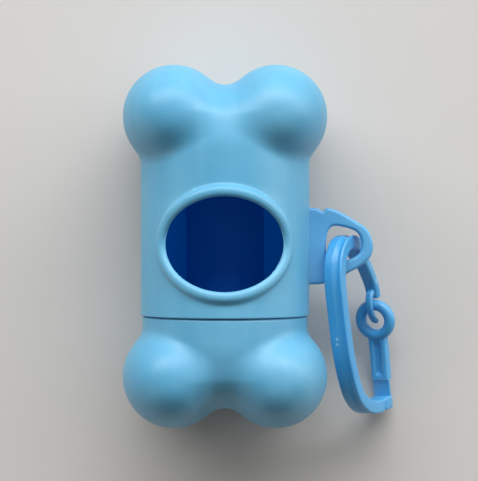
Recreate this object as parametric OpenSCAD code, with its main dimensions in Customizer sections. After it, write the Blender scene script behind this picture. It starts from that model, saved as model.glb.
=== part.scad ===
// Bone-shaped dispenser for rolls of waste bags, with its hand clip, lying on its back.
// The barrel's axis runs along Y: closed end at +Y, screw cap at -Y, window up at +Z.
// The origin is on the table, straight below the middle of the barrel's axis.

/* [Barrel and lobes] */
// Outer radius of the barrel
barrel_r = 20; // [19:0.25:22]
// Wall of the barrel and of the cap
wall = 1.5; // [1.3:0.05:1.7]
// Distance from the middle of the barrel to its open mouth
mouth_y = 16.2; // [15.6:0.2:17.4]
// Distance from the middle of the barrel to the lobes' centres
lobe_y = 30.7; // [30:0.1:33]
// Sideways distance from the axis to the lobes' centres
lobe_x = 12; // [11:0.25:13]
// Radius of a lobe seen from the front
lobe_r = 12.3; // [11.5:0.1:13]
// Half of a lobe's thickness from front to back
lobe_depth = 20.5; // [20.2:0.1:22]
// How full the lobes are in front: 2 is round, more is fuller
lobe_power = 2.2; // [2:0.05:2.6]
// Where the barrel's straight side starts to round over into its end
dome_from = 21.5; // [21:0.1:23]
// Length of the rounded end
dome_len = 15.3; // [15:0.1:17]
// How square the rounded end is, 2 for an ellipse
dome_power = 2.5; // [2.3:0.1:3]
// Width of the soft crease between a lobe and the barrel
crease = 1.6; // [1.5:0.1:2.8]
// Width of the soft saddle between two lobes
saddle = 5; // [3:0.25:6]

/* [Window] */
// Half width of the window across the barrel
window_a = 13.6; // [11:0.2:14.4]
// Half height of the window along the barrel
window_b = 11.1; // [8:0.1:11.6]
// Centre of the window along the barrel
window_y = 0.55; // [-0.5:0.05:1.5]
// Width of the raised rim round the window
rim_w = 2.7; // [2:0.1:3]
// Height of the raised rim above the barrel
rim_h = 1.25; // [0.8:0.05:1.4]
// How far the rim reaches in over the window's edge
rim_over = 0.35; // [0.2:0.05:0.5]

/* [Cap and thread] */
// How much smaller the cap's radius is than the barrel's
cap_step = 0.4; // [0.1:0.05:0.6]
// Rounding of the collar's edge at the seam
collar_round = 0.8; // [0.3:0.05:0.9]
// Open line between the barrel and the cap when it is screwed home
seam = 0.2; // [0.1:0.05:0.4]
// Length of the cap's neck inside the barrel
neck_len = 5.2; // [4.4:0.1:5.4]
// Wall of the neck
neck_wall = 1.2; // [1:0.05:1.4]
// Gap round the neck in the barrel's mouth
neck_gap = 0.25; // [0.15:0.05:0.35]
// Advance of the thread in one turn
pitch = 3.4; // [3:0.1:3.6]
// Height of the thread's ridge above the neck
thread_h = 0.5; // [0.3:0.05:0.6]
// Width of the thread's ridge at its root
thread_w = 1.2; // [0.9:0.05:1.3]
// Clearance round the ridge in its groove
thread_gap = 0.25; // [0.15:0.05:0.3]

/* [Side loop] */
// Thickness of the loop
loop_t = 3.2; // [2.6:0.1:3.4]
// Clearance of the loop in the barrel's slot
slot_gap = 0.05; // [0.02:0.01:0.1]
// Thickness of the flange inside the barrel
flange_t = 1.1; // [0.8:0.05:1.3]
// How far the flange reaches past the slot above and below
flange_lap = 2.4; // [1.5:0.1:3]

/* [Clip] */
// Width of the clip's bar
clip_w = 4.6; // [3.8:0.1:5]
// Thickness of the clip's bar
clip_t = 3.2; // [2.6:0.1:3.4]
// Width of the moulded channel round the outside of the clip
channel_w = 1.5; // [1:0.1:1.8]
// Depth of the channel
channel_d = 0.5; // [0.3:0.05:0.8]
// Width of the narrow rail beside the bow's channel
channel_rail = 0.55; // [0.4:0.05:1.5]
// Width of the arm that carries the nose
arm_w = 3.4; // [2.6:0.1:3.8]
// Thickness of the arm where it leaves the bow
arm_t = 2.8; // [2:0.1:3]
// Thickness of the arm at its end, above the ring
arm_end = 2.2; // [1.8:0.1:2.6]
// Width of the hooked nose that the ring snaps over
nose_w = 1.8; // [1.4:0.1:2.2]
// Thickness of the nose
nose_t = 1.5; // [1.2:0.1:1.7]
// Thickness of the gate
gate_t = 2.6; // [2:0.1:2.8]
// Radius of the gate's ring, from its centre to the middle of its bar
ring_r = 3.8; // [3.6:0.05:3.9]
// Radius of the ring's round bar
ring_bar = 1.35; // [1.1:0.05:1.4]
// Thickness of the living hinge
web_t = 0.8; // [0.5:0.05:1]
// How far the living hinge lies inside the bar's two sides
web_inset = 0.1; // [0.05:0.05:0.4]

/* [Bag roll] */
// Length of the roll
roll_len = 56; // [45:0.5:56.5]
// Radius of the wound bags, part used
roll_r = 9.4; // [7:0.1:11]
// Thickness of the loose turn of the first bag
tail_t = 0.35; // [0.2:0.05:0.5]
// Outer radius of the cardboard core
core_r = 5.25; // [4:0.05:6]
// Wall of the cardboard core
core_wall = 1.2; // [0.6:0.05:1.4]
// Clearance between the core and the bags
core_gap = 0.05; // [0.03:0.01:0.1]
// Gap under the roll where it lies on the neck
roll_gap = 0.3; // [0.2:0.05:0.5]

/* [Hidden] */
$fn = 96;

axis_z = lobe_depth;
cap_r = barrel_r - cap_step;
bore_r = barrel_r - wall;
neck_r = bore_r - neck_gap;
neck_bore = neck_r - neck_wall;
collar_y = mouth_y + seam;
neck_top = collar_y - seam - neck_len;

// The closed ends are skins: rings of points found along rays from one centre.
end_segs = 56;
end_rows = 18;
row_bias = 1.2;
skirt_y = lobe_y - lobe_r - crease / 2;
ray_from = [0, dome_from, 0];
ray_max = 32;
ray_steps = 22;
probe = 0.01;
lap = 0.01;

// Clip points in its own plane: first number from the spine to the gate, second down the clip.
clip_at = [25.9, -6.4, axis_z + 4.7];
clip_tilt = [-160, 60, 24.5];
bow_line = [[14.8, -1.4], [11, -4.8], [7, -6.1], [3.4, -5.2], [0.7, -2.4], [-0.5, 2], [-0.7, 9],
    [-0.5, 17], [0.1, 22], [1.3, 27], [3.4, 31.2], [7.4, 34.5], [13, 36.4], [20, 37.2]];
arm_line = [[14, -2.2], [16.7, 1.6], [18.7, 4.9], [20.1, 7.8], [20.6, 10.3]];
nose_line = [[19.8, 8.8], [18.2, 9.7], [17.4, 11.6], [17.7, 13.8], [18.8, 15.6], [20, 16.5]];
ring_at = [20, 16.3];
gate_line = [[20.5, 20.4], [20.4, 24], [20.2, 28], [19.9, 31.4]];
hinge_at = [19.5, 33.5];
web_len = 4.6;
curve_steps = 5;

// Loop points in the picture plane, across X and along Y.
loop_line = [[19, 9.2], [22, 9], [23.1, 8.3], [24.4, 9.1], [27, 8.3], [30.5, 6.3], [33.6, 4.2],
    [35, 1.2], [34.8, -1.8], [32.8, -4.2], [28.4, -6.7], [24, -8.6], [22, -9], [19, -9]];
eye_line = [[24, 1.6], [24.6, 3.9], [26.3, 4.9], [30.9, 3.7], [32.4, 1.2], [31.8, -1.7], [28.6, -3.5],
    [25.4, -4.7], [24.2, -3.9], [23.95, -1.2]];
slot_y = [-9, 9.2];

function unit(v) = v / norm(v);
function soft_min(a, b, k) = let (h = max(k - abs(a - b), 0) / k) min(a, b) - h * h * k / 4;
function lobe_gap(p, side) =
    let (across = norm([p.x - side * lobe_x, p.y - lobe_y]) / lobe_r, up = abs(p.z) / lobe_depth)
    (pow(pow(across, lobe_power) + pow(up, lobe_power), 1 / lobe_power) - 1) * lobe_r;
function dome_gap(p, r) =
    let (across = norm([p.x, p.z]) / r, along = max(p.y - dome_from, 0) / dome_len)
    (pow(pow(across, dome_power) + pow(along, dome_power), 1 / dome_power) - 1) * r;
function blend(y) =
    crease + (saddle - crease) * min(max((y - dome_from) / (lobe_y - dome_from), 0), 1);
function skin_gap(p, r) =
    soft_min(dome_gap(p, r), soft_min(lobe_gap(p, 1), lobe_gap(p, -1), saddle), blend(p.y));
function reach(d, r, near, far, steps) =
    let (mid = (near + far) / 2)
    steps == 0 ? mid
    : skin_gap(ray_from + mid * d, r) < 0 ? reach(d, r, mid, far, steps - 1)
    : reach(d, r, near, mid, steps - 1);
function skin_normal(p, r) =
    unit([for (d = [[probe, 0, 0], [0, probe, 0], [0, 0, probe]]) skin_gap(p + d, r) - skin_gap(p - d, r)]);

// Points of one closed end: the outer skin, then the same points moved in by the wall.
function skirt_angle(r) = atan2(r, skirt_y - ray_from.y);
function ray(row, seg, r) =
    let (down = skirt_angle(r) * (1 - pow(row / end_rows, row_bias)), round = 360 * seg / end_segs)
    [sin(down) * cos(round), cos(down), sin(down) * sin(round)];
function skin_points(r) =
    [for (row = [0:end_rows - 1], seg = [0:end_segs - 1])
        let (d = ray(row, seg, r)) ray_from + reach(d, r, 0, ray_max, ray_steps) * d,
        ray_from + reach([0, 1, 0], r, 0, ray_max, ray_steps) * [0, 1, 0]];
function rim_ring(r) = [for (seg = [0:end_segs - 1])
    let (round = 360 * seg / end_segs) [r * cos(round), skirt_y, r * sin(round)]];
function grid_faces(first, rows, segs, flip) =
    [for (row = [0:rows - 2], seg = [0:segs - 1])
        let (a = first + row * segs + seg, b = first + row * segs + (seg + 1) % segs)
        each flip ? [[a, b, b + segs], [a, b + segs, a + segs]]
            : [[a, b + segs, b], [a, a + segs, b + segs]]];
function cap_faces(first, rows, segs, flip) =
    let (pole = first + rows * segs, last = first + (rows - 1) * segs)
    [for (seg = [0:segs - 1]) flip ? [last + seg, last + (seg + 1) % segs, pole]
        : [last + seg, pole, last + (seg + 1) % segs]];

// Smooth line through hand-chosen points, and the outline of a bar that follows it.
function bend(a, b, c, d, t) =
    (2 * b + (c - a) * t + (2 * a - 5 * b + 4 * c - d) * t * t + (3 * b - a - 3 * c + d) * t * t * t) / 2;
function curve(p) =
    let (n = len(p) - 1)
    [for (i = [0:n - 1], k = [0:curve_steps - 1])
        bend(i == 0 ? 2 * p[0] - p[1] : p[i - 1], p[i], p[i + 1],
            i == n - 1 ? 2 * p[n] - p[n - 1] : p[i + 2], k / curve_steps), p[n]];
function closed_curve(p) =
    let (n = len(p))
    [for (i = [0:n - 1], k = [0:curve_steps - 1])
        bend(p[(i + n - 1) % n], p[i], p[(i + 1) % n], p[(i + 2) % n], k / curve_steps)];
function side(p, off, off_end) =
    let (n = len(p) - 1)
    [for (i = [0:n])
        let (t = unit(p[min(i + 1, n)] - p[max(i - 1, 0)]))
        p[i] + (off + (off_end - off) * i / n) * [t.y, -t.x]];
function band(p, from, to) = taper(p, from, to, from, to);
function taper(p, from, to, from_end, to_end) =
    let (a = side(p, from, from_end), b = side(p, to, to_end))
    concat(a, [for (i = [len(b) - 1:-1:0]) b[i]]);
function tail_of(p, from) = middle_of(p, from, 0);
function middle_of(p, from, left) = [for (i = [from:len(p) - 1 - left]) p[i]];

module lobed_end(r) {
    rows = end_rows;
    skin = skin_points(r);
    body = tail_of(skin, end_segs);
    inner = [for (p = body) p - wall * skin_normal(p, r)];
    count = len(body) + end_segs;
    points = concat(rim_ring(r / cos(180 / end_segs) + lap), body, rim_ring(r - wall - lap), inner);
    rim = [for (seg = [0:end_segs - 1])
        let (a = seg, b = (seg + 1) % end_segs) each [[a, count + b, b], [a, count + a, count + b]]];
    polyhedron(points, concat(grid_faces(0, rows, end_segs, true), cap_faces(0, rows, end_segs, true),
        grid_faces(count, rows, end_segs, false), cap_faces(count, rows, end_segs, false), rim));
}

// Ring of revolution about the barrel's axis, from y1 to y2.
module tube(r_out, r_in, y1, y2) {
    translate([0, y1, 0]) rotate([-90, 0, 0]) difference() {
        cylinder(r = r_out, h = y2 - y1);
        translate([0, 0, -wall]) cylinder(r = r_in, h = y2 - y1 + 2 * wall);
    }
}

// Screw ridge or groove about Y: half widths at its two radii, from y1, over some turns.
module helix(r_low, half_low, r_high, half_high, y1, turns) {
    steps = round(turns * 36);
    section = [[r_low, -half_low], [r_high, -half_high], [r_high, half_high], [r_low, half_low]];
    points = [for (i = [0:steps], s = section)
        let (a = 360 * turns * i / steps) [s.x * sin(a), y1 + pitch * a / 360 + s.y, s.x * cos(a)]];
    sides = [for (i = [0:steps - 1], s = [0:3])
        let (a = 4 * i + s, b = 4 * i + (s + 1) % 4) each [[a, b, b + 4], [a, b + 4, a + 4]]];
    ends = [[3, 2, 1], [3, 1, 0], [4 * steps, 4 * steps + 1, 4 * steps + 2],
        [4 * steps, 4 * steps + 2, 4 * steps + 3]];
    polyhedron(points, concat(sides, ends));
}

function window_point(angle, grow) =
    [(window_a + grow) * cos(angle), window_y + (window_b + grow) * sin(angle)];

module window_hole() {
    linear_extrude(height = barrel_r * 2) polygon([for (a = [0:7.5:359]) window_point(a, 0)]);
}

// Rounded rim round the window: an oval section carried along the window's edge on the barrel.
module window_rim() {
    rings = 40;
    sides = 8;
    grow = rim_w / 2 - rim_over;
    points = [for (i = [0:rings - 1])
        let (
            a = 360 * i / rings,
            q = window_point(a, grow),
            z = sqrt(barrel_r * barrel_r - q.x * q.x),
            out = [q.x, 0, z] / barrel_r,
            dx = -(window_a + grow) * sin(a),
            run = unit([dx, (window_b + grow) * cos(a), -q.x * dx / z]),
            across = cross(run, out)
        )
        for (k = [0:sides - 1])
            let (b = 360 * (k + 0.5) / sides)
            [q.x, q.y, z] + across * rim_w / 2 * cos(b) + out * rim_h * sin(b)];
    faces = [for (i = [0:rings - 1], k = [0:sides - 1])
        let (
            a = i * sides + k,
            b = i * sides + (k + 1) % sides,
            c = (i + 1) % rings * sides + (k + 1) % sides,
            d = (i + 1) % rings * sides + k
        )
        each [[a, b, c], [a, c, d]]];
    polyhedron(points, faces);
}

module loop_slot(gap) {
    translate([bore_r - wall, slot_y[0] - gap, -loop_t / 2 - gap])
        cube([3 * wall, slot_y[1] - slot_y[0] + 2 * gap, loop_t + 2 * gap]);
}

module barrel() {
    color([0.40, 0.68, 0.84]) translate([0, 0, axis_z]) {
        difference() {
            union() {
                tube(barrel_r, bore_r, -mouth_y, skirt_y);
                lobed_end(barrel_r);
            }
            window_hole();
            loop_slot(slot_gap);
            helix(bore_r - 0.3, thread_w / 2 + thread_gap, neck_r + thread_h + thread_gap,
                thread_w / 4 + thread_gap, -mouth_y - pitch / 2, (neck_len + pitch / 2) / pitch);
        }
        window_rim();
    }
}

module side_loop() {
    color([0.33, 0.63, 0.83]) translate([0, 0, axis_z]) {
        translate([0, 0, -loop_t / 2]) linear_extrude(height = loop_t) difference() {
            polygon(concat([[bore_r - flange_t, slot_y[1]]], curve(loop_line),
                [[bore_r - flange_t, slot_y[0]]]));
            polygon(closed_curve(eye_line));
        }
        intersection() {
            tube(bore_r - slot_gap, bore_r - flange_t, slot_y[0] - 1, slot_y[1] + 1);
            translate([bore_r / 2, slot_y[0] - 1, -loop_t / 2 - flange_lap])
                cube([bore_r, slot_y[1] - slot_y[0] + 2, loop_t + 2 * flange_lap]);
        }
    }
}

module collar() {
    arc = [for (a = [0:15:90])
        [cap_r - collar_round + collar_round * sin(a), collar_y + collar_round - collar_round * cos(a)]];
    rotate([90, 0, 0]) rotate_extrude()
        polygon(concat([[neck_bore, collar_y]], arc, [[cap_r, skirt_y], [neck_bore, skirt_y]]));
}

module cap() {
    color([0.42, 0.70, 0.86]) translate([0, 0, axis_z]) {
        collar();
        tube(neck_r, neck_bore, -skirt_y - wall / 2, -neck_top);
        mirror([0, 1, 0]) lobed_end(cap_r);
        helix(neck_r - 0.4, thread_w / 2, neck_r + thread_h, thread_w / 4, -mouth_y + pitch / 2,
            (neck_len - pitch / 2 - thread_w / 2 - 0.1) / pitch);
    }
}

// Moves the roll's pieces to its axis, which lies below the barrel's.
module on_roll_axis() {
    drop = neck_bore - roll_gap - roll_r - tail_t;
    translate([0, 0, axis_z - drop]) children();
}

module roll_core() {
    color([0.62, 0.50, 0.36]) on_roll_axis()
        tube(core_r, core_r - core_wall, -roll_len / 2, roll_len / 2);
}

module bag_roll() {
    color([0.02, 0.07, 0.16]) on_roll_axis()
        tube(roll_r - 0.02, core_r + core_gap, -roll_len / 2, roll_len / 2);
}

module bag_tail() {
    color([0.02, 0.08, 0.18]) on_roll_axis() translate([0, roll_len / 2 - 0.4, 0]) rotate([90, 0, 0])
        rotate_extrude(angle = 310) translate([roll_r, 0]) square([tail_t, roll_len - 0.8]);
}

module clip_place() {
    translate(clip_at) rotate(clip_tilt) children();
}

module bar(width, outline) {
    translate([0, 0, -width / 2]) linear_extrude(height = width) polygon(outline);
}

module clip_frame() {
    bow = curve(bow_line);
    color([0.25, 0.56, 0.78]) clip_place() {
        difference() {
            bar(clip_w, band(bow, -clip_t / 2, clip_t / 2));
            translate([0, 0, channel_rail + channel_w / 2 - clip_w / 2])
                bar(channel_w, band(middle_of(bow, 4, 3), -clip_t / 2 - 1, -clip_t / 2 + channel_d));
        }
        bar(arm_w, taper(curve(arm_line), -arm_t / 2, arm_t / 2, -arm_end / 2, arm_end / 2));
        bar(nose_w, taper(curve(nose_line), -nose_t / 2, nose_t / 2, -nose_t * 0.4, nose_t * 0.4));
    }
}

module clip_gate() {
    line = curve(gate_line);
    color([0.27, 0.58, 0.80]) clip_place() {
        difference() {
            bar(clip_w, band(line, -gate_t / 2, gate_t / 2));
            bar(channel_w, band(middle_of(line, 2, 2), -gate_t / 2 - 1, -gate_t / 2 + channel_d));
        }
        translate([ring_at.x, ring_at.y, 0]) rotate([0, 90, 0])
            rotate_extrude() translate([ring_r, 0]) circle(r = ring_bar, $fn = 48);
    }
}

module clip_hinge_web() {
    color([0.22, 0.52, 0.76]) clip_place() difference() {
        translate([hinge_at.x, hinge_at.y, 0])
            cube([web_t, web_len, clip_w - 2 * web_inset], center = true);
        bar(clip_w, band(curve(bow_line), -clip_t / 2, clip_t / 2));
        bar(clip_w, band(curve(gate_line), -gate_t / 2, gate_t / 2));
    }
}

barrel();
side_loop();
cap();
roll_core();
bag_roll();
bag_tail();
clip_frame();
clip_gate();
clip_hinge_web();
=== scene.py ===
"""Looks of the bone-shaped waste bag dispenser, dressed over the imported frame.

The scene and its materials are in metres. The sizes and points of the pieces are in mm."""
import math

import bmesh
import bpy
import numpy as np
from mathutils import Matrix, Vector


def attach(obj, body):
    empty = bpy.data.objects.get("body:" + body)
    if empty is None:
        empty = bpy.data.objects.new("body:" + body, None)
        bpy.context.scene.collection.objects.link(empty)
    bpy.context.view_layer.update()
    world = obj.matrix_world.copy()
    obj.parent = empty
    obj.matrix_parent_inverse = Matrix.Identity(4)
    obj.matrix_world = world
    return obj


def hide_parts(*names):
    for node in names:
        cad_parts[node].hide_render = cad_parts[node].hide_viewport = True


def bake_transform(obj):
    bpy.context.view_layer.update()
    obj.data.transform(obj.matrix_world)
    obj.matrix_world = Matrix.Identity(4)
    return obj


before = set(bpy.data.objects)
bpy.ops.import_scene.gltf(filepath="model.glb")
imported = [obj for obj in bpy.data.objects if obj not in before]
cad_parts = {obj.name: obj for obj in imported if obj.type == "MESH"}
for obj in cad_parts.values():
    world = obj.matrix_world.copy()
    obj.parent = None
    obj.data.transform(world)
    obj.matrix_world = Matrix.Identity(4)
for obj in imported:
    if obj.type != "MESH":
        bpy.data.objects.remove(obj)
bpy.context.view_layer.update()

MM = 0.001
RNG = np.random.default_rng(7)

# Sizes, the same as the solids'.
BARREL_R, CAP_R, WALL, AXIS_Z = 20.0, 19.6, 1.5, 20.5
MOUTH, SEAM, NECK_LEN, NECK_R, NECK_BORE = 16.2, 0.2, 5.2, 18.25, 17.05
PITCH, THREAD_H, THREAD_TURNS = 3.4, 0.5, 0.8235
LOBE_Y, LOBE_X, LOBE_R, LOBE_D, LOBE_POW = 30.7, 12.0, 12.3, 20.5, 2.2
DOME_FROM, DOME_LEN, DOME_POW, CREASE, SADDLE = 21.5, 15.3, 2.5, 1.6, 5.0
SKIRT = LOBE_Y - LOBE_R - CREASE / 2
WIN_A, WIN_B, WIN_Y = 13.6, 11.1, 0.55
ROLL_Z, ROLL_LEN, ROLL_R, CORE_R = 13.5, 56.0, 9.75, 5.25
COLUMNS = 192  # points round each ring of the barrel and the cap
OUTER_ROWS, INNER_ROWS = 72, 26  # rings of a closed end, outside and inside
LIP_ROUND, COLLAR_ROUND = 0.15, 0.8


# ---------------------------------------------------------------- materials
def rgb(r, g, b):
    """Linear colour of an sRGB colour written in 0-255."""
    def lin(c):
        c = c / 255.0
        return c / 12.92 if c <= 0.04045 else ((c + 0.055) / 1.055) ** 2.4
    return (lin(r), lin(g), lin(b), 1.0)


class Material:
    """A small wrapper that adds nodes and links by name."""

    def __init__(self, name):
        self.mat = bpy.data.materials.new(name)
        self.mat.use_nodes = True
        self.tree = self.mat.node_tree
        self.bsdf = self.tree.nodes["Principled BSDF"]
        self.coord = self.tree.nodes.new("ShaderNodeTexCoord")

    def add(self, kind, **values):
        node = self.tree.nodes.new("ShaderNode" + kind)
        for key, value in values.items():
            if key in node.inputs:
                node.inputs[key].default_value = value
            else:
                setattr(node, key, value)
        return node

    def link(self, a, b):
        self.tree.links.new(a, b)

    def noise(self, scale, detail=3.0, rough=0.5, stretch=None):
        node = self.add("TexNoise")
        node.inputs["Scale"].default_value = scale
        node.inputs["Detail"].default_value = detail
        node.inputs["Roughness"].default_value = rough
        if stretch:
            mapping = self.add("Mapping")
            mapping.inputs["Scale"].default_value = stretch
            self.link(self.coord.outputs["Object"], mapping.inputs["Vector"])
            self.link(mapping.outputs["Vector"], node.inputs["Vector"])
        else:
            self.link(self.coord.outputs["Object"], node.inputs["Vector"])
        return node.outputs["Fac"]

    def ramp(self, fac, stops):
        node = self.add("ValToRGB")
        ramp = node.color_ramp
        while len(ramp.elements) < len(stops):
            ramp.elements.new(0.5)
        for element, (at, colour) in zip(ramp.elements, stops):
            element.position = at
            element.color = colour if len(colour) == 4 else (*colour, 1.0)
        self.link(fac, node.inputs["Fac"])
        return node.outputs["Color"]

    def mix(self, fac, a, b):
        node = self.add("Mix", data_type="RGBA", blend_type="MIX")
        for socket, value in ((node.inputs[0], fac), (node.inputs[6], a), (node.inputs[7], b)):
            if isinstance(value, bpy.types.NodeSocket):
                self.link(value, socket)
            else:
                socket.default_value = value
        return node.outputs[2]

    def math(self, operation, a, b=0.0):
        node = self.add("Math", operation=operation)
        for socket, value in zip(node.inputs, (a, b)):
            if isinstance(value, bpy.types.NodeSocket):
                self.link(value, socket)
            else:
                socket.default_value = value
        return node.outputs[0]

    def bump(self, height, strength, distance, normal=None):
        node = self.add("Bump")
        node.inputs["Strength"].default_value = strength
        node.inputs["Distance"].default_value = distance
        self.link(height, node.inputs["Height"])
        if normal is not None:
            self.link(normal, node.inputs["Normal"])
        return node.outputs["Normal"]

    def set(self, **values):
        for key, value in values.items():
            socket = self.bsdf.inputs[key.replace("_", " ")]
            if isinstance(value, bpy.types.NodeSocket):
                self.link(value, socket)
            else:
                socket.default_value = value
        return self.mat


def plastic(name, colour, pale, deep, roughness, edge=0.35, depth=0.18, scuffs=()):
    """Soft moulded polyethylene: cloudy colour, paler edges (partly wear, partly painted highlight), painted
    shade in its hollows, faint flow marks and a satin skin.
    """
    m = Material(name)
    cloud = m.noise(90, 4.0, 0.55)
    col = m.mix(m.math("MULTIPLY", cloud, 0.5), colour, deep)
    flow = m.noise(60, 3.0, 0.6, stretch=(1.0, 0.22, 1.0))
    col = m.mix(m.ramp(flow, [(0.42, (0, 0, 0)), (0.72, (0.32, 0.32, 0.32))]), col, pale)
    geometry = m.add("NewGeometry")
    # Painted highlight and wear: convex edges go paler, partly from wear and partly as lit edges that catch
    # the light.
    edges = m.ramp(geometry.outputs["Pointiness"], [(0.515, (0, 0, 0)), (0.60, (edge,) * 3)])
    col = m.mix(edges, col, pale)
    # Painted shade: hollows and creases darken towards the deep colour.
    painted_hollow_shade = m.ramp(geometry.outputs["Pointiness"], [(0.40, (0.30, 0.30, 0.30)), (0.485, (0, 0, 0))])
    col = m.mix(painted_hollow_shade, col, deep)
    specks = m.noise(1500, 2.0, 0.5)
    col = m.mix(m.ramp(specks, [(0.70, (0, 0, 0)), (0.80, (0.25, 0.25, 0.25))]), col, pale)
    for at, size in scuffs:
        far = m.add("VectorMath", operation="DISTANCE")
        m.link(m.coord.outputs["Object"], far.inputs[0])
        far.inputs[1].default_value = at
        ragged = m.math("ADD", m.math("DIVIDE", far.outputs["Value"], size), m.math("MULTIPLY", specks, 0.9))
        col = m.mix(m.ramp(ragged, [(0.75, (0.75, 0.75, 0.75)), (1.0, (0, 0, 0))]), col, rgb(170, 215, 240))
    rough = m.ramp(m.noise(220, 3.0, 0.6), [(0.3, (roughness - 0.05,) * 3), (0.75, (roughness + 0.08,) * 3)])
    fine = m.bump(m.noise(2600, 3.0, 0.6), 0.05, 0.00006)
    wave = m.bump(m.noise(150, 2.0, 0.5), 0.10, 0.0004, fine)
    return m.set(
        Base_Color=col, Roughness=rough, Normal=wave, IOR=1.5, Specular_IOR_Level=0.78,
        Subsurface_Weight=depth, Subsurface_Radius=(0.4, 0.8, 1.0), Subsurface_Scale=0.0012,
        Sheen_Weight=0.06, Sheen_Roughness=0.5,
    )


BODY = plastic("body_plastic_look", rgb(90, 175, 213), rgb(140, 205, 230), rgb(66, 151, 197), 0.48)
CAP = plastic("cap_plastic_look", rgb(87, 171, 209), rgb(138, 201, 228), rgb(64, 147, 193), 0.48)
LOOP = plastic("loop_plastic_look", rgb(86, 174, 224), rgb(138, 204, 238), rgb(54, 142, 206), 0.42)
# The clip's paler edges are painted highlight as well as wear.
CLIP = plastic("clip_plastic_look", rgb(68, 171, 230), rgb(130, 202, 238), rgb(36, 126, 196), 0.38,
               edge=0.6, depth=0.12,
               scuffs=(((0.02637, -0.02179, 0.02436), 0.0009), ((0.02639, -0.02322, 0.02403), 0.0008)))


def inside_painted_glow(name):
    """The inside of the moulding: painted deep blue and a painted glow, standing for light passed from wall
    to wall.
    """
    m = Material(name)
    col = m.mix(m.noise(60, 2.0, 0.5), rgb(6, 104, 205), rgb(4, 84, 180))
    fine = m.bump(m.noise(900, 3.0, 0.6), 0.12, 0.0001)
    # Painted glow: the emission stands in for light passed from wall to wall inside the barrel.
    return m.set(Base_Color=col, Roughness=0.6, Normal=fine, Specular_IOR_Level=0.15,
                 Emission_Color=rgb(0, 100, 184), Emission_Strength=0.16)


def film(name):
    """Thin bag film wound tight, navy for painted shade, with a painted glow: fine ridges round the roll,
    creases along it, a dull gloss.
    """
    m = Material(name)
    layers = m.noise(420, 3.0, 0.6, stretch=(1.0, 0.06, 1.0))
    crease = m.noise(120, 5.0, 0.65, stretch=(1.0, 2.6, 1.0))
    # Painted shade: the navy is chosen dark to stand for the shade inside the barrel; the bags' own colour is
    # not known.
    col = m.mix(crease, rgb(0, 45, 114), rgb(2, 56, 132))
    col = m.mix(m.ramp(layers, [(0.45, (0, 0, 0)), (0.7, (0.5, 0.5, 0.5))]), col, rgb(2, 47, 118))
    n = m.bump(layers, 0.35, 0.0002)
    n = m.bump(crease, 0.45, 0.0005, n)
    rough = m.ramp(crease, [(0.3, (0.62,) * 3), (0.7, (0.74,) * 3)])
    # Painted glow: the emission stands in for light passed through the walls onto the roll.
    return m.set(Base_Color=col, Roughness=rough, Normal=n, Specular_IOR_Level=0.1,
                 Emission_Color=rgb(0, 88, 184), Emission_Strength=0.125,
                 Sheen_Weight=0.35, Sheen_Roughness=0.6, Sheen_Tint=rgb(0, 110, 230))


def board(name):
    """Grey-brown cardboard with its spiral lap and fibres."""
    m = Material(name)
    fibre = m.noise(700, 4.0, 0.7, stretch=(1.0, 0.3, 1.0))
    col = m.mix(fibre, rgb(150, 124, 94), rgb(184, 158, 124))
    wave = m.add("TexWave", wave_type="BANDS", bands_direction="DIAGONAL")
    wave.inputs["Scale"].default_value = 26
    wave.inputs["Distortion"].default_value = 0.4
    m.link(m.coord.outputs["Object"], wave.inputs["Vector"])
    lap = m.ramp(wave.outputs["Fac"], [(0.90, (0, 0, 0)), (0.98, (0.5, 0.5, 0.5))])
    col = m.mix(lap, col, rgb(112, 90, 66))
    n = m.bump(fibre, 0.3, 0.0001)
    return m.set(Base_Color=col, Roughness=0.88, Normal=n, Specular_IOR_Level=0.2)


INSIDE_PAINTED_GLOW = inside_painted_glow("inside_painted_glow_look")
FILM = film("bag_film_look")
BOARD = board("core_board_look")


# ---------------------------------------------------------------- mesh helpers
def piece(name, verts, faces, mats, body, replaced, face_mats=None, sharp=40.0):
    """A smooth-shaded piece from points in mm, in place of its CAD nodes. It rides on its body, if any."""
    mesh = bpy.data.meshes.new(name)
    mesh.from_pydata([tuple(v) for v in np.asarray(verts, float) * MM], [],
                     [tuple(f) for f in faces])
    for mat in mats:
        mesh.materials.append(mat)
    if face_mats is not None:
        mesh.polygons.foreach_set("material_index", np.asarray(face_mats, np.int32))
    bm = bmesh.new()
    bm.from_mesh(mesh)
    bmesh.ops.recalc_face_normals(bm, faces=bm.faces)
    for face in bm.faces:
        face.smooth = True
    for edge in bm.edges:
        if len(edge.link_faces) == 2 and edge.calc_face_angle(0.0) > math.radians(sharp):
            edge.smooth = False
    bm.to_mesh(mesh)
    bm.free()
    obj = bpy.data.objects.new(name, mesh)
    bpy.context.scene.collection.objects.link(obj)
    if body:
        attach(obj, body)
    if replaced:
        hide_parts(*replaced)
    return obj


class Grid:
    """Collects rings of points and the faces between them."""

    def __init__(self):
        self.points, self.faces, self.mats, self.count = [], [], [], 0

    def ring(self, pts):
        """Adds points and returns their numbers."""
        start = self.count
        self.points.append(np.asarray(pts, float))
        self.count += len(pts)
        return np.arange(start, self.count)

    def between(self, a, b, mat=0, skip=None):
        """Faces from ring a to ring b. skip(i) leaves a face out."""
        n = len(a)
        for i in range(n):
            if skip is not None and skip(i):
                continue
            j = (i + 1) % n
            self.faces.append((a[i], a[j], b[j], b[i]))
            self.mats.append(mat)

    def pole(self, a, point, mat):
        """Faces from a ring to one point."""
        tip = self.ring([point])[0]
        n = len(a)
        for i in range(n):
            self.faces.append((a[i], a[(i + 1) % n], tip))
            self.mats.append(mat)

    def lid(self, a):
        self.faces.append(tuple(a))
        self.mats.append(0)

    def verts(self):
        return np.vstack(self.points)


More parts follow.
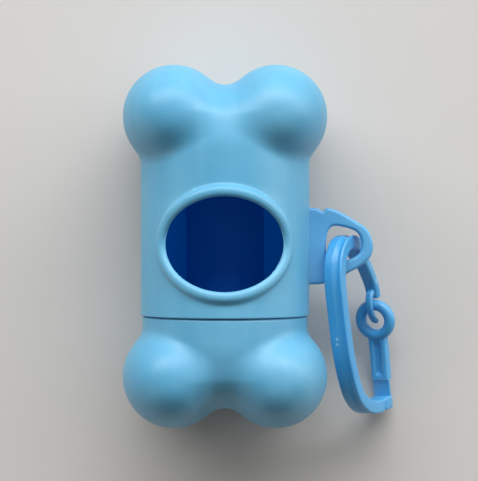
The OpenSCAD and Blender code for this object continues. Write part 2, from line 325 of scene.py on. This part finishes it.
def smooth_noise(n, terms, seed):
    """A closed wavy line of n values between about -1 and 1."""
    r = np.random.default_rng(seed)
    t = np.arange(n) * 2 * math.pi / n
    out = np.zeros(n)
    for k in range(2, terms):
        out += r.normal() / k ** 0.5 * np.sin(k * t + r.uniform(0, 6.3))
    return out / max(np.abs(out).max(), 1e-9)


# ---------------------------------------------------------------- the bone's skin
def soft_min(a, b, k):
    """The lower of two values, blended over a width k."""
    h = np.maximum(k - np.abs(a - b), 0) / k
    return np.minimum(a, b) - h * h * k / 4


def skin_gap(p, r):
    """Distance-like height of points over the closed end: below zero inside, with a barrel of radius r."""
    x, y, z = p[..., 0], p[..., 1], p[..., 2]
    across = np.hypot(x, z) / r
    along = np.maximum(y - DOME_FROM, 0) / DOME_LEN
    dome = ((across ** DOME_POW + along ** DOME_POW) ** (1 / DOME_POW) - 1) * r

    def lobe(s):
        across = np.hypot(x - s * LOBE_X, y - LOBE_Y) / LOBE_R
        return ((across ** LOBE_POW + (np.abs(z) / LOBE_D) ** LOBE_POW) ** (1 / LOBE_POW) - 1) * LOBE_R

    t = np.clip((y - DOME_FROM) / (LOBE_Y - DOME_FROM), 0, 1)
    return soft_min(dome, soft_min(lobe(1), lobe(-1), SADDLE), CREASE + (SADDLE - CREASE) * t)


def skin_normal(p, r):
    """Outward direction of the skin, from small steps of its gap."""
    e = 0.01
    g = np.stack([skin_gap(p + d, r) - skin_gap(p - d, r) for d in np.eye(3) * e], -1)
    return g / np.linalg.norm(g, axis=-1, keepdims=True)


ALPHA = -math.pi + np.arange(COLUMNS) * 2 * math.pi / COLUMNS  # the columns' angles


def polar(alpha, r, y):
    """Points at an angle from +Z towards +X, in the frame of the barrel's axis."""
    alpha, r, y = np.broadcast_arrays(alpha, r, y)
    return np.stack([r * np.sin(alpha), y, r * np.cos(alpha)], -1)


def end_rings(r, rows, inset, bias=1.15):
    """Rings of the closed end from the skirt to just before its pole, and the pole."""
    start = math.atan2(r, SKIRT - DOME_FROM)
    down = start * (1 - (np.arange(1, rows) / rows) ** bias)
    d = np.stack(np.broadcast_arrays(
        np.sin(down)[:, None] * np.sin(ALPHA)[None], np.cos(down)[:, None],
        np.sin(down)[:, None] * np.cos(ALPHA)[None]), -1)
    d = np.concatenate([d.reshape(-1, 3), [[0, 1, 0]]])
    # Halve the span along each ray until it holds the skin.
    near, far = np.zeros(len(d)), np.full(len(d), 32.0)
    for _ in range(30):
        mid = (near + far) / 2
        outside = skin_gap(np.array([0, DOME_FROM, 0]) + mid[:, None] * d, r) >= 0
        far = np.where(outside, mid, far)
        near = np.where(outside, near, mid)
    p = np.array([0, DOME_FROM, 0]) + ((near + far) / 2)[:, None] * d
    # The outside keeps a hair inside the faceted solid's box.
    depth = inset if inset else 0.09 * np.clip((p[:, 1:2] - 18.5) / 6, 0, 1)
    p = p - depth * skin_normal(p, r)
    return p[:-1].reshape(rows - 1, COLUMNS, 3), p[-1]


def lifted(p):
    """From the frame of the barrel's axis to the row's frame."""
    return np.asarray(p) + [0, 0, AXIS_Z]


def turned(p):
    """The same point on the cap's end, lifted to the barrel's axis."""
    return lifted(np.asarray(p) * [1, -1, 1])


def groove(alpha, y):
    """Depth of the screw groove in the barrel's mouth at an angle and a height."""
    half, flank, last = 0.74, 0.19, -10.9
    turn = (y + MOUTH + PITCH / 2 - PITCH * alpha / (2 * math.pi) + PITCH / 2) % PITCH - PITCH / 2
    centre = y - turn
    depth = THREAD_H * np.clip((half - np.abs(turn)) / flank, 0, 1)
    return depth * np.clip((last - centre) / 0.2, 0, 1)


def ridge(alpha, y):
    """Height of the cap's screw ridge."""
    a = np.mod(alpha, 2 * math.pi)
    off = y - (-MOUTH + PITCH / 2 + PITCH * a / (2 * math.pi))
    end = THREAD_TURNS * 2 * math.pi
    half, flank = 0.5, 0.2
    fade = np.clip(a / 0.2, 0, 1) * np.clip((end - a) / 0.2, 0, 1)
    return THREAD_H * np.clip((half - np.abs(off)) / flank, 0, 1) * fade


def close_end(g, last, radius, count, inset, mat, place, first=0):
    """Closes a skin with its rounded end, from its last ring to the pole."""
    rings, pole = end_rings(radius, count, inset)
    for ring in rings[first:]:
        new = g.ring(place(ring))
        g.between(last, new, mat)
        last = new
    g.pole(last, place(pole), mat)


def make_barrel():
    """The barrel: a wall inside and outside, a closed end, and the window with its raised rim."""
    g = Grid()
    rim = -MOUTH - SEAM / 2  # the lip reaches halfway across the seam
    patch_from, patch_to = -14.0, 15.6  # the part of the length that the window's own rings fill
    rows = np.concatenate([
        [rim, rim + 0.02, rim + 0.06, rim + LIP_ROUND, -15.9], np.arange(-15.7, -14.1, 0.25),
        np.linspace(patch_from, -11.0, 13), np.linspace(-11.0, patch_to, 33)[1:],
        np.linspace(patch_to, SKIRT, 4)[1:]])
    r0 = int(np.argmin(np.abs(rows - patch_from)))
    r1 = int(np.argmin(np.abs(rows - patch_to)))
    j0, j1 = COLUMNS // 3, 2 * COLUMNS // 3

    def radius_out(y):
        lip = np.clip((y - rim) / LIP_ROUND, 0, 1)
        return BARREL_R - LIP_ROUND * (1 - np.sqrt(1 - (1 - lip) ** 2))

    def radius_in(alpha, y):
        lead = 0.25 * np.clip((-15.8 - y) / 0.4, 0, 1)
        return BARREL_R - WALL + np.maximum(groove(alpha, y), lead)

    def wall_rings(radius, mat):
        rings = [g.ring(lifted(polar(ALPHA, radius(ALPHA, np.full(COLUMNS, y)), y))) for y in rows]
        for i in range(len(rows) - 1):
            in_rows = r0 <= i < r1
            g.between(rings[i], rings[i + 1], mat, skip=(lambda j: in_rows and j0 <= j < j1))
        return rings

    outer = wall_rings(lambda a, y: radius_out(y), 0)
    inner = wall_rings(radius_in, 1)

    # The mouth's flat edge.
    g.between(outer[0], inner[0], 0)

    # Closed end, outside and inside.
    close_end(g, outer[-1], BARREL_R, OUTER_ROWS, 0, 0, lifted)
    close_end(g, inner[-1], BARREL_R, INNER_ROWS, WALL, 1, lifted)

    # Round the window: the grid's own border, then rings of the bead, the cut edge and the inside.
    border = ([(r0, j) for j in range(j0, j1)] + [(r, j1) for r in range(r0, r1)]
              + [(r1, j) for j in range(j1, j0, -1)] + [(r, j0) for r in range(r1, r0, -1)])
    ab = np.array([ALPHA[j] for _, j in border])
    yb = np.array([rows[r] for r, _ in border])
    crest = 1.0  # from the opening's edge out to the top of the bead
    side_angle = math.asin((WIN_A + crest) / BARREL_R)
    phi = np.arctan2((yb - WIN_Y) / (WIN_B + crest), ab / side_angle)
    xc = (WIN_A + crest) * np.cos(phi)
    ac, yc = np.arcsin(xc / BARREL_R), WIN_Y + (WIN_B + crest) * np.sin(phi)
    na = (WIN_B + crest) * np.cos(phi)
    ny = (WIN_A + crest) * np.sin(phi) / np.sqrt(1 - (xc / BARREL_R) ** 2)
    size = np.hypot(na, ny)
    na, ny = na / size, ny / size
    n = len(border)
    wobble = smooth_noise(n, 40, 3)
    low_side = np.clip(-np.sin(phi) * 1.4, 0, 1)
    # The bead's profile: distance out from its crest line, and height over the barrel.
    bead = [(2.0, 0.0), (1.82, 0.03), (1.62, 0.12), (1.42, 0.28), (1.24, 0.47), (1.03, 0.69),
            (0.77, 0.91), (0.42, 1.09), (0.0, 1.14), (-0.45, 1.09), (-0.86, 0.93), (-1.12, 0.68),
            (-1.27, 0.34)]
    loops = [np.array([outer[r][j] for r, j in border])]
    foot_a, foot_y = ac + bead[0][0] * na / BARREL_R, yc + bead[0][0] * ny
    for t in (0.3, 0.65):
        loops.append(g.ring(lifted(polar(ab + (foot_a - ab) * t, BARREL_R, yb + (foot_y - yb) * t))))
    for d, h in bead:
        out = d + (0.02 * wobble if d < 0 else 0.0)
        loops.append(g.ring(lifted(polar(ac + out * na / BARREL_R, BARREL_R + h, yc + out * ny))))
    for i in range(len(loops) - 1):
        g.between(loops[i], loops[i + 1], 0)
    last = loops[-1]
    # A thin, uneven line of flash stands on the cut edge, most of it along the lower side.
    flash = 0.05 + 0.17 * np.clip(smooth_noise(n, 70, 11), 0, 1) * (0.25 + 0.75 * low_side)
    cut_edge = ((0, 0.10, 0.12), (0, -flash, 0.05), (0, 0.02, -0.12), (1, 0.0, -0.6), (1, 0.0, -1.2),
                (1, 0.07, -1.42), (1, 0.2, -1.5))
    for mat, out, h in cut_edge:
        x = (WIN_A + out) * np.cos(phi)
        y = WIN_Y + (WIN_B + out) * np.sin(phi)
        edge_a, edge_y = np.arcsin(x / (BARREL_R + h)), y
        new = g.ring(lifted(polar(edge_a, BARREL_R + h, y)))
        g.between(last, new, mat)
        last = new
    for t in (0.35, 0.7):
        a = edge_a + (ab - edge_a) * t
        y = edge_y + (yb - edge_y) * t
        new = g.ring(lifted(polar(a, radius_in(a, y), y)))
        g.between(last, new, 1)
        last = new
    g.between(last, np.array([inner[r][j] for r, j in border]), 1)

    # Drop the points under the window, which no face uses.
    used = np.zeros(g.count, bool)
    for f in g.faces:
        used[list(f)] = True
    order = np.cumsum(used) - 1
    faces = [tuple(int(order[i]) for i in f) for f in g.faces]
    return piece("barrel_shell", g.verts()[used], faces, [BODY, INSIDE_PAINTED_GLOW], "barrel", ["barrel"],
                 g.mats)


def make_cap():
    """The cap, drawn as the barrel's closed end is and turned round, with its neck in the mouth."""
    g = Grid()
    collar = MOUTH + SEAM
    neck_end = collar - SEAM - NECK_LEN
    path = [(CAP_R, y) for y in (SKIRT, 17.4, 17.26)]
    path += [(CAP_R - COLLAR_ROUND * (1 - math.cos(a)), collar + COLLAR_ROUND * (1 - math.sin(a)))
             for a in np.linspace(0, math.pi / 2, 8)]
    path += [(18.75, collar), (NECK_R + 0.12, collar - 0.02), (NECK_R, collar - 0.14)]
    outer_neck = [(NECK_R, y) for y in np.arange(collar - 0.3, neck_end + 0.3, -0.15)]
    bore = [(NECK_R - 0.04, neck_end + 0.12), (NECK_R - 0.2, neck_end), (NECK_BORE + 0.2, neck_end),
            (NECK_BORE + 0.04, neck_end + 0.12), (NECK_BORE, neck_end + 0.4), (NECK_BORE, 14.0),
            (NECK_BORE, 17.3), (NECK_BORE, 17.8), (NECK_BORE + 0.12, SKIRT + WALL / 2),
            (CAP_R - WALL - 0.35, SKIRT + WALL / 2)]
    rings, mats = [], []
    for line, mat, threaded in ((path, 0, False), (outer_neck, 0, True), (bore, 1, False)):
        for r, y in line:
            out = r + ridge(ALPHA, -y) if threaded else r
            rings.append(g.ring(lifted(polar(ALPHA, out, -y))))
            mats.append(mat)
    for a, b, mat in zip(rings, rings[1:], mats[1:]):
        g.between(a, b, mat)
    close_end(g, rings[0], CAP_R, OUTER_ROWS, 0, 0, turned)
    close_end(g, rings[-1], CAP_R, INNER_ROWS, WALL, 1, turned, first=1)
    return piece("cap_shell", g.verts(), g.faces, [CAP, INSIDE_PAINTED_GLOW], "cap", ["cap"], g.mats)


# ---------------------------------------------------------------- curves shared by the clip and the loop
def bend(a, b, c, d, t):
    """A point of the smooth curve between b and c."""
    return (2 * b + (c - a) * t + (2 * a - 5 * b + 4 * c - d) * t ** 2 + (3 * b - a - 3 * c + d) * t ** 3) / 2


def curve(points, steps=10):
    """A smooth open line through the points, as in the source."""
    p = [np.array(q, float) for q in points]
    n = len(p) - 1
    out = []
    for i in range(n):
        a = 2 * p[0] - p[1] if i == 0 else p[i - 1]
        d = 2 * p[n] - p[n - 1] if i == n - 1 else p[i + 2]
        out += [bend(a, p[i], p[i + 1], d, k / steps) for k in range(steps)]
    return np.array(out + [p[n]])


def closed_curve(points, steps=10):
    """A smooth closed line through the points."""
    p = [np.array(q, float) for q in points]
    n = len(p)
    return np.array([bend(p[i - 1], p[i], p[(i + 1) % n], p[(i + 2) % n], k / steps)
                     for i in range(n) for k in range(steps)])


def rot(axis, deg):
    """Matrix of a turn about one axis."""
    c, s = math.cos(math.radians(deg)), math.sin(math.radians(deg))
    return np.array({"x": [[1, 0, 0], [0, c, -s], [0, s, c]], "y": [[c, 0, s], [0, 1, 0], [-s, 0, c]],
                     "z": [[c, -s, 0], [s, c, 0], [0, 0, 1]]}[axis])


CLIP_AT = np.array([25.9, -6.4, AXIS_Z + 4.7])
CLIP_AXES = rot("z", 24.5) @ rot("y", 60) @ rot("x", -160)
BOW = [(14.8, -1.4), (11, -4.8), (7, -6.1), (3.4, -5.2), (0.7, -2.4), (-0.5, 2), (-0.7, 9),
       (-0.5, 17), (0.1, 22), (1.3, 27), (3.4, 31.2), (7.4, 34.5), (13, 36.4), (20, 37.2)]
ARM = [(14, -2.2), (16.7, 1.6), (18.7, 4.9), (20.1, 7.8), (20.6, 10.3)]
NOSE = [(19.8, 8.8), (18.2, 9.7), (17.4, 11.6), (17.7, 13.8), (18.8, 15.6), (20, 16.5)]
GATE = [(20.5, 20.4), (20.4, 24), (20.2, 28), (19.9, 31.4)]
CLIP_W, CLIP_T, GATE_T = 4.6, 3.2, 2.6
ARM_W, ARM_T, ARM_END, NOSE_W, NOSE_T = 3.4, 2.8, 2.2, 1.8, 1.5
RING_AT, RING_R, RING_BAR = (20.0, 16.3), 3.8, 1.35
HINGE_AT, WEB_T, WEB_LEN = (19.5, 33.5), 0.8, 4.06
TRIM = 0.05  # the dressed bars are this much narrower than the solids


def clip_world(p):
    """From the clip's own frame to the row's frame."""
    return np.asarray(p, float) @ CLIP_AXES.T + CLIP_AT


def dished_section(t, w, r, channel, depth, off):
    """Section of the bow: its outer side carries a shallow soft channel towards one edge."""
    o, z = t / 2, w / 2
    far = bar_section(t, w, r)
    far = far[far[:, 0] > -o + r * 1.01]
    across = np.linspace(-z, z, 34)
    across = z * np.sign(across) * (1 - (1 - np.abs(across) / z) ** 1.5)
    corner = np.maximum(np.abs(across) - (z - r), 0)
    bump = np.clip(1 - ((across - off) / (channel / 2)) ** 2, 0, 1) ** 1.4
    near = np.column_stack([-o + r - np.sqrt(np.maximum(r * r - corner ** 2, 0)) + depth * bump, across])
    return np.vstack([near, far])


def bar_section(t, w, r, channel=0.0, depth=0.0):
    """Section of a bar as (offset, across) points, with rounded corners and a channel in its -offset side."""
    def arc(co, cz, a0, a1):
        return [(co + r * math.cos(a), cz + r * math.sin(a)) for a in np.linspace(a0, a1, 6)]

    o, z, quarter = t / 2, w / 2, math.pi / 2
    out = arc(-o + r, -z + r, 3 * quarter, 2 * quarter)
    if channel:
        c, deep, lip = channel / 2, max(depth, 0.001), 0.22
        side = [(0, c + lip), (0.15, c + 0.3 * lip), (0.75, c - 0.2 * lip), (1, c - 0.9 * lip)]
        out += [(-o + share * deep, -z0) for share, z0 in side] + [(-o + deep, 0.0)]
        out += [(-o + share * deep, z0) for share, z0 in side[::-1]]
    out += arc(-o + r, z - r, 2 * quarter, quarter)
    out += [(-o * 0.3, z), (o * 0.3, z)]
    out += arc(o - r, z - r, quarter, 0.0)
    out += [(o, z * 0.3), (o, -z * 0.3)]
    out += arc(o - r, -z + r, 0.0, -quarter)
    out += [(o * 0.3, -z), (-o * 0.3, -z)]
    return np.array(out)


def skinned(g, rings):
    """Faces between the rings of a bar, and a lid on each end."""
    for a, b in zip(rings, rings[1:]):
        g.between(a, b)
    g.lid(rings[0])
    g.lid(rings[-1][::-1])


def swept_bar(g, share, path, section_at, round_start, round_end):
    """Sweeps a section along a flat path. section_at(share) gives its points; the ends are rounded over."""
    n = len(path)
    rings = []
    for i, p in enumerate(path):
        along = path[min(i + 1, n - 1)] - path[max(i - 1, 0)]
        along = along / np.linalg.norm(along)
        side = np.array([along[1], -along[0]])
        sec = section_at(share[i])

        def put(sec, shift):
            q = p + shift * along + sec[:, :1] * side
            return g.ring(clip_world(np.column_stack([q, sec[:, 1]])))

        def end(k, reach):
            return put(sec * (1 - 0.24 * (1 - k) ** 1.4), reach * math.sqrt(1 - k * k))

        if i == 0 and round_start:
            rings += [end(k, -round_start) for k in (0.0, 0.5, 0.85)]
        rings.append(put(sec, 0.0))
        if i == n - 1 and round_end:
            rings += [end(k, round_end) for k in (0.85, 0.5, 0.0)]
    skinned(g, rings)


def even(path):
    """The path with its even shares."""
    return np.linspace(0, 1, len(path)), path


def refined(path, a, b, more):
    """The path with extra points between two shares of its length, kept at even shares of the index."""
    n = len(path) - 1
    t = np.concatenate([np.linspace(0, a, int(n * a)), np.linspace(a, b, int(n * (b - a) * more))[1:],
                        np.linspace(b, 1, max(int(n * (1 - b)), 3))[1:]])
    return t, np.column_stack([np.interp(t * n, np.arange(n + 1), path[:, k]) for k in (0, 1)])


def smooth_step(x, a, b):
    """Rises from 0 at a to 1 at b, level at both ends."""
    x = np.clip((x - a) / (b - a), 0, 1)
    return x * x * (3 - 2 * x)


def make_clip():
    """The clip's bow with its channel, a notch near its end, the arm and the nose."""
    g = Grid()
    bow = curve(BOW, 12)

    def bow_section(t):
        depth = 0.5 * float(smooth_step(t, 0.03, 0.12) * (1 - smooth_step(t, 0.80, 0.90)))
        wave = 0.03 * math.sin(23 * t) + 0.02 * math.sin(61 * t + 1)
        notch = 1 - 0.22 * math.exp(-((t - 0.956) / 0.007) ** 2)
        return dished_section(CLIP_T, CLIP_W - TRIM + wave, 0.55, 2.1, depth, -1.0) * notch

    def arm_section(t):
        return bar_section(ARM_T + (ARM_END - ARM_T) * t, ARM_W, 0.85)

    def nose_section(t):
        return bar_section(NOSE_T * (1 - 0.2 * t), NOSE_W * (1 - 0.12 * t), 0.55)

    swept_bar(g, *refined(bow, 0.93, 0.98, 8), bow_section, 0.5, 0.0)
    swept_bar(g, *even(curve(ARM, 10)), arm_section, 0.4, 0.35)
    swept_bar(g, *even(curve(NOSE, 10)), nose_section, 0.3, 0.4)
    return piece("clip_bow", g.verts(), g.faces, [CLIP], "clip", ["clip_frame"], sharp=50)


def make_gate():
    """The gate's bar with its short channel, and the ring at its end."""
    g = Grid()

    def section(t):
        depth = 0.7 * float(smooth_step(t, 0.08, 0.25) * (1 - smooth_step(t, 0.80, 0.92)))
        return bar_section(GATE_T, CLIP_W - TRIM, 0.6, 1.6, depth)

    swept_bar(g, *even(curve(GATE, 12)), section, 0.3, 0.0)
    around, about = 64, 28
    b = np.arange(about) * 2 * math.pi / about
    reach, rise = RING_R + RING_BAR * np.cos(b), RING_BAR * np.sin(b)
    rings = []
    for a in np.arange(around) * 2 * math.pi / around:
        at = np.column_stack([RING_AT[0] + rise, RING_AT[1] + reach * math.cos(a), reach * math.sin(a)])
        rings.append(g.ring(clip_world(at)))
    for k in range(around):
        g.between(rings[k], rings[(k + 1) % around])
    return piece("clip_gate_bar", g.verts(), g.faces, [CLIP], "gate", ["clip_gate"], sharp=50)


def make_web():
    """The living hinge, thinnest in its middle, laid across the joint between the bow and the gate."""
    g = Grid()
    rings = []
    for f in np.linspace(-0.5, 0.5, 13):
        thin = WEB_T * (1 - 0.25 * math.cos(math.pi * f) ** 2)
        sec = bar_section(thin, CLIP_W - 0.22, 0.18)
        along = np.full(len(sec), HINGE_AT[1] + f * WEB_LEN)
        rings.append(g.ring(clip_world(np.column_stack([HINGE_AT[0] + sec[:, 0], along, sec[:, 1]]))))
    skinned(g, rings)
    hinge = piece("clip_web", g.verts(), g.faces, [CLIP], None, ["clip_hinge_web"], sharp=50)
    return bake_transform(hinge)


LOOP_LINE = [(19, 9.2), (22, 9), (23.1, 8.3), (24.4, 9.1), (27, 8.3), (30.5, 6.3), (33.6, 4.2),
             (35, 1.2), (34.8, -1.8), (32.8, -4.2), (28.4, -6.7), (24, -8.6), (22, -9), (19, -9)]
EYE_LINE = [(24, 1.6), (24.6, 3.9), (26.3, 4.9), (30.9, 3.7), (32.4, 1.2), (31.8, -1.7), (28.6, -3.5),
            (25.4, -4.7), (24.2, -3.9), (23.95, -1.2)]
LOOP_T = 3.2


def resampled(loop, centre, count):
    """Points of a closed loop at even angles round a centre."""
    loop = np.vstack([loop, loop[:1]]) - centre
    out = []
    for k in range(count):
        a = 2 * math.pi * k / count
        d = np.array([math.cos(a), math.sin(a)])
        best = None
        for p, q in zip(loop, loop[1:]):
            e = q - p
            den = d[0] * e[1] - d[1] * e[0]
            if abs(den) < 1e-12:
                continue
            s = (p[0] * e[1] - p[1] * e[0]) / den
            t = (p[0] * d[1] - p[1] * d[0]) / den
            if s > 0 and -1e-9 <= t <= 1 + 1e-9 and (best is None or s > best):
                best = s
        out.append(centre + best * d)
    return np.array(out)


def loop_normals(p):
    """Directions square to a closed line, smoothed over its neighbours."""
    t = np.roll(p, -1, 0) - np.roll(p, 1, 0)
    t = (t + np.roll(t, 1, 0) + np.roll(t, -1, 0)) / 3
    t /= np.linalg.norm(t, axis=1, keepdims=True)
    return np.column_stack([t[:, 1], -t[:, 0]])


def make_loop():
    """The lug with its eye, rounded on every edge, and its flange inside the barrel."""
    g = Grid()
    centre = np.array([27.6, 0.4])
    count = 220
    root_x = 17.6  # within the flange, inside the barrel
    edge = np.vstack([[[root_x, LOOP_LINE[0][1]]], curve(LOOP_LINE, 10), [[root_x, LOOP_LINE[-1][1]]]])
    outer = resampled(edge, centre, count)
    eye = resampled(closed_curve(EYE_LINE), centre, count)
    no, ne = loop_normals(outer), loop_normals(eye)
    r, h = 0.75, LOOP_T / 2
    steps = np.linspace(0, math.pi / 2, 6)
    section = []
    for a in steps:
        section.append((eye + ne * r * (1 - math.cos(a)) * 0.9, h - r + r * math.sin(a)))
    for t in (0.35, 0.65):
        section.append((eye + (outer - eye) * t, h))
    for a in steps[::-1]:
        section.append((outer - no * r * (1 - math.cos(a)), h - r + r * math.sin(a)))
    full = section + [(p, -z) for p, z in section[::-1]]
    rings = [g.ring(np.column_stack([p, np.full(count, AXIS_Z + z)])) for p, z in full]
    for i in range(len(rings)):
        g.between(rings[i], rings[(i + 1) % len(rings)])
    # The flange that holds the loop from inside the barrel.
    near_r, far_r = 17.45, 18.44
    rings = []
    for y, top in ((-10.0, 3.5), (-9.6, 3.9), (9.8, 3.9), (10.2, 3.5)):
        z = np.linspace(-top, top, 9)
        far, near = [np.column_stack([np.sqrt(r ** 2 - z ** 2), np.full(9, y), AXIS_Z + z])
                     for r in (far_r, near_r)]
        rings.append(g.ring(np.vstack([far, near[::-1]])))
    skinned(g, rings)
    return piece("side_lug", g.verts(), g.faces, [LOOP], "barrel", ["side_loop"], sharp=55)


# ---------------------------------------------------------------- the roll of bags
def make_roll():
    """The wound bags: a wrinkled skin with the first bag's loose edge, and uneven layers on both ends."""
    g = Grid()
    n, rows, layers = 144, 60, 26
    a = np.arange(n) * 2 * math.pi / n
    r = np.random.default_rng(5)
    waves = [(r.integers(1, 9), r.uniform(0.05, 0.5), r.uniform(0, 6.3), r.uniform(0.01, 0.035))
             for _ in range(16)]

    def wrinkle(alpha, y):
        out = 0
        for k, f, ph, amp in waves:
            out = out + amp * np.sin(k * alpha + f * y + ph)
        return out

    # The first bag's free edge stands a little off the roll near its top.
    edge, wound_r, film_step, edge_lift, edge_width = math.radians(24), 9.32, 0.16, 0.22, 0.22

    def radius(alpha, y):
        turn = np.mod(alpha - edge, 2 * math.pi)
        spiral = wound_r + film_step * turn / (2 * math.pi)
        lift = edge_lift * np.exp(-((2 * math.pi - turn) / edge_width) ** 2) * (1 + 0.4 * np.sin(0.7 * y))
        return np.minimum(spiral + lift + 0.5 * wrinkle(alpha, y), ROLL_R - 0.02)

    def ring_at(r, y):
        return g.ring(np.column_stack([r * np.sin(a), np.full(n, y), ROLL_Z + r * np.cos(a)]))

    ys = np.linspace(-ROLL_LEN / 2, ROLL_LEN / 2, rows)
    inner = CORE_R + 0.05
    ends = list(zip(np.linspace(0, 1, layers), RNG.uniform(-0.16, 0.0, layers)))

    def layer(share, y, dip):
        return ring_at(inner + (radius(a, y) - 0.05 - inner) * share, y + dip)

    rings = [layer(share, ys[0], -dip) for share, dip in ends]
    rings += [ring_at(radius(a, y), np.clip(y, ys[0] + 0.06, ys[-1] - 0.06)) for y in ys]
    rings += [layer(share, ys[-1], dip) for share, dip in ends[::-1]]
    for i in range(len(rings)):
        g.between(rings[i], rings[(i + 1) % len(rings)])
    return piece("bag_film_roll", g.verts(), g.faces, [FILM], "bags", ["bag_roll", "bag_tail"],
                 sharp=65)


for make in (make_barrel, make_cap, make_loop, make_clip, make_gate, make_web, make_roll):
    make()

# The core keeps its CAD shape and gets its own look.
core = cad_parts["roll_core"]
core.data.materials.clear()
core.data.materials.append(BOARD)
for poly in core.data.polygons:
    poly.material_index = 0


# ---------------------------------------------------------------- floor, light and camera
FLOOR_SPAN = 3.0
floor_look = Material("floor_look")
floor_mesh = bpy.data.meshes.new("floor")
floor_mesh.from_pydata([(x * FLOOR_SPAN, y * FLOOR_SPAN, 0) for x, y in ((-1, -1), (1, -1), (1, 1), (-1, 1))],
                       [], [(0, 1, 2, 3)])
floor_mesh.materials.append(
    floor_look.set(Base_Color=rgb(208, 206, 203), Roughness=0.9, Specular_IOR_Level=0.2))
floor = bpy.data.objects.new("floor", floor_mesh)
bpy.context.scene.collection.objects.link(floor)


def area(name, at, look, size, power, colour):
    """A soft rectangular lamp that looks at a point."""
    data = bpy.data.lights.new(name, "AREA")
    data.shape = "RECTANGLE"
    data.size, data.size_y = size
    data.energy = power
    data.color = colour
    obj = bpy.data.objects.new(name, data)
    obj.location = at
    obj.rotation_mode = "QUATERNION"
    obj.rotation_quaternion = (Vector(look) - Vector(at)).to_track_quat("-Z", "Y")
    bpy.context.scene.collection.objects.link(obj)


# A wide window beyond the closed end, the room overhead, and two weak lamps that open the sides' shadows.
area("key_window", (-0.06, 1.34, 0.98), (0, 0, 0.02), (4.0, 0.8), 61.5, (1.0, 1.0, 1.0))
area("fill_room", (0.15, 0.10, 0.70), (0, 0, 0.02), (0.6, 0.6), 0.75, (1.0, 0.98, 0.95))
area("side_right", (1.17, 0.38, 0.31), (0.03, -0.02, 0.01), (0.6, 0.6), 4.4, (1.0, 1.0, 1.0))
area("side_left", (-1.10, -0.62, 0.35), (0, -0.02, 0.01), (0.6, 0.6), 1.6, (1.0, 0.90, 0.80))

world = bpy.data.worlds.new("room")
bpy.context.scene.world = world
world.use_nodes = True
world.node_tree.nodes["Background"].inputs["Color"].default_value = (1.0, 0.94, 0.88, 1.0)
world.node_tree.nodes["Background"].inputs["Strength"].default_value = 0.07

# The camera looks straight down from 0.42 m, a hair off the barrel's axis.
CAMERA_AT, VIEW_ANGLE, SENSOR = (0.0033, 0.0014, 0.420), 16.19, 36.0
cam_data = bpy.data.cameras.new("camera")
cam = bpy.data.objects.new("camera", cam_data)
cam_data.sensor_fit = "HORIZONTAL"
cam_data.sensor_width = SENSOR
cam_data.lens = SENSOR / 2 / math.tan(math.radians(VIEW_ANGLE / 2))
cam_data.clip_start, cam_data.clip_end = 0.01, 10.0
cam.location = CAMERA_AT
cam.rotation_euler = (0.0, 0.0, 0.0)
bpy.context.scene.collection.objects.link(cam)
bpy.context.scene.camera = cam
bpy.context.scene.view_settings.view_transform = "Standard"
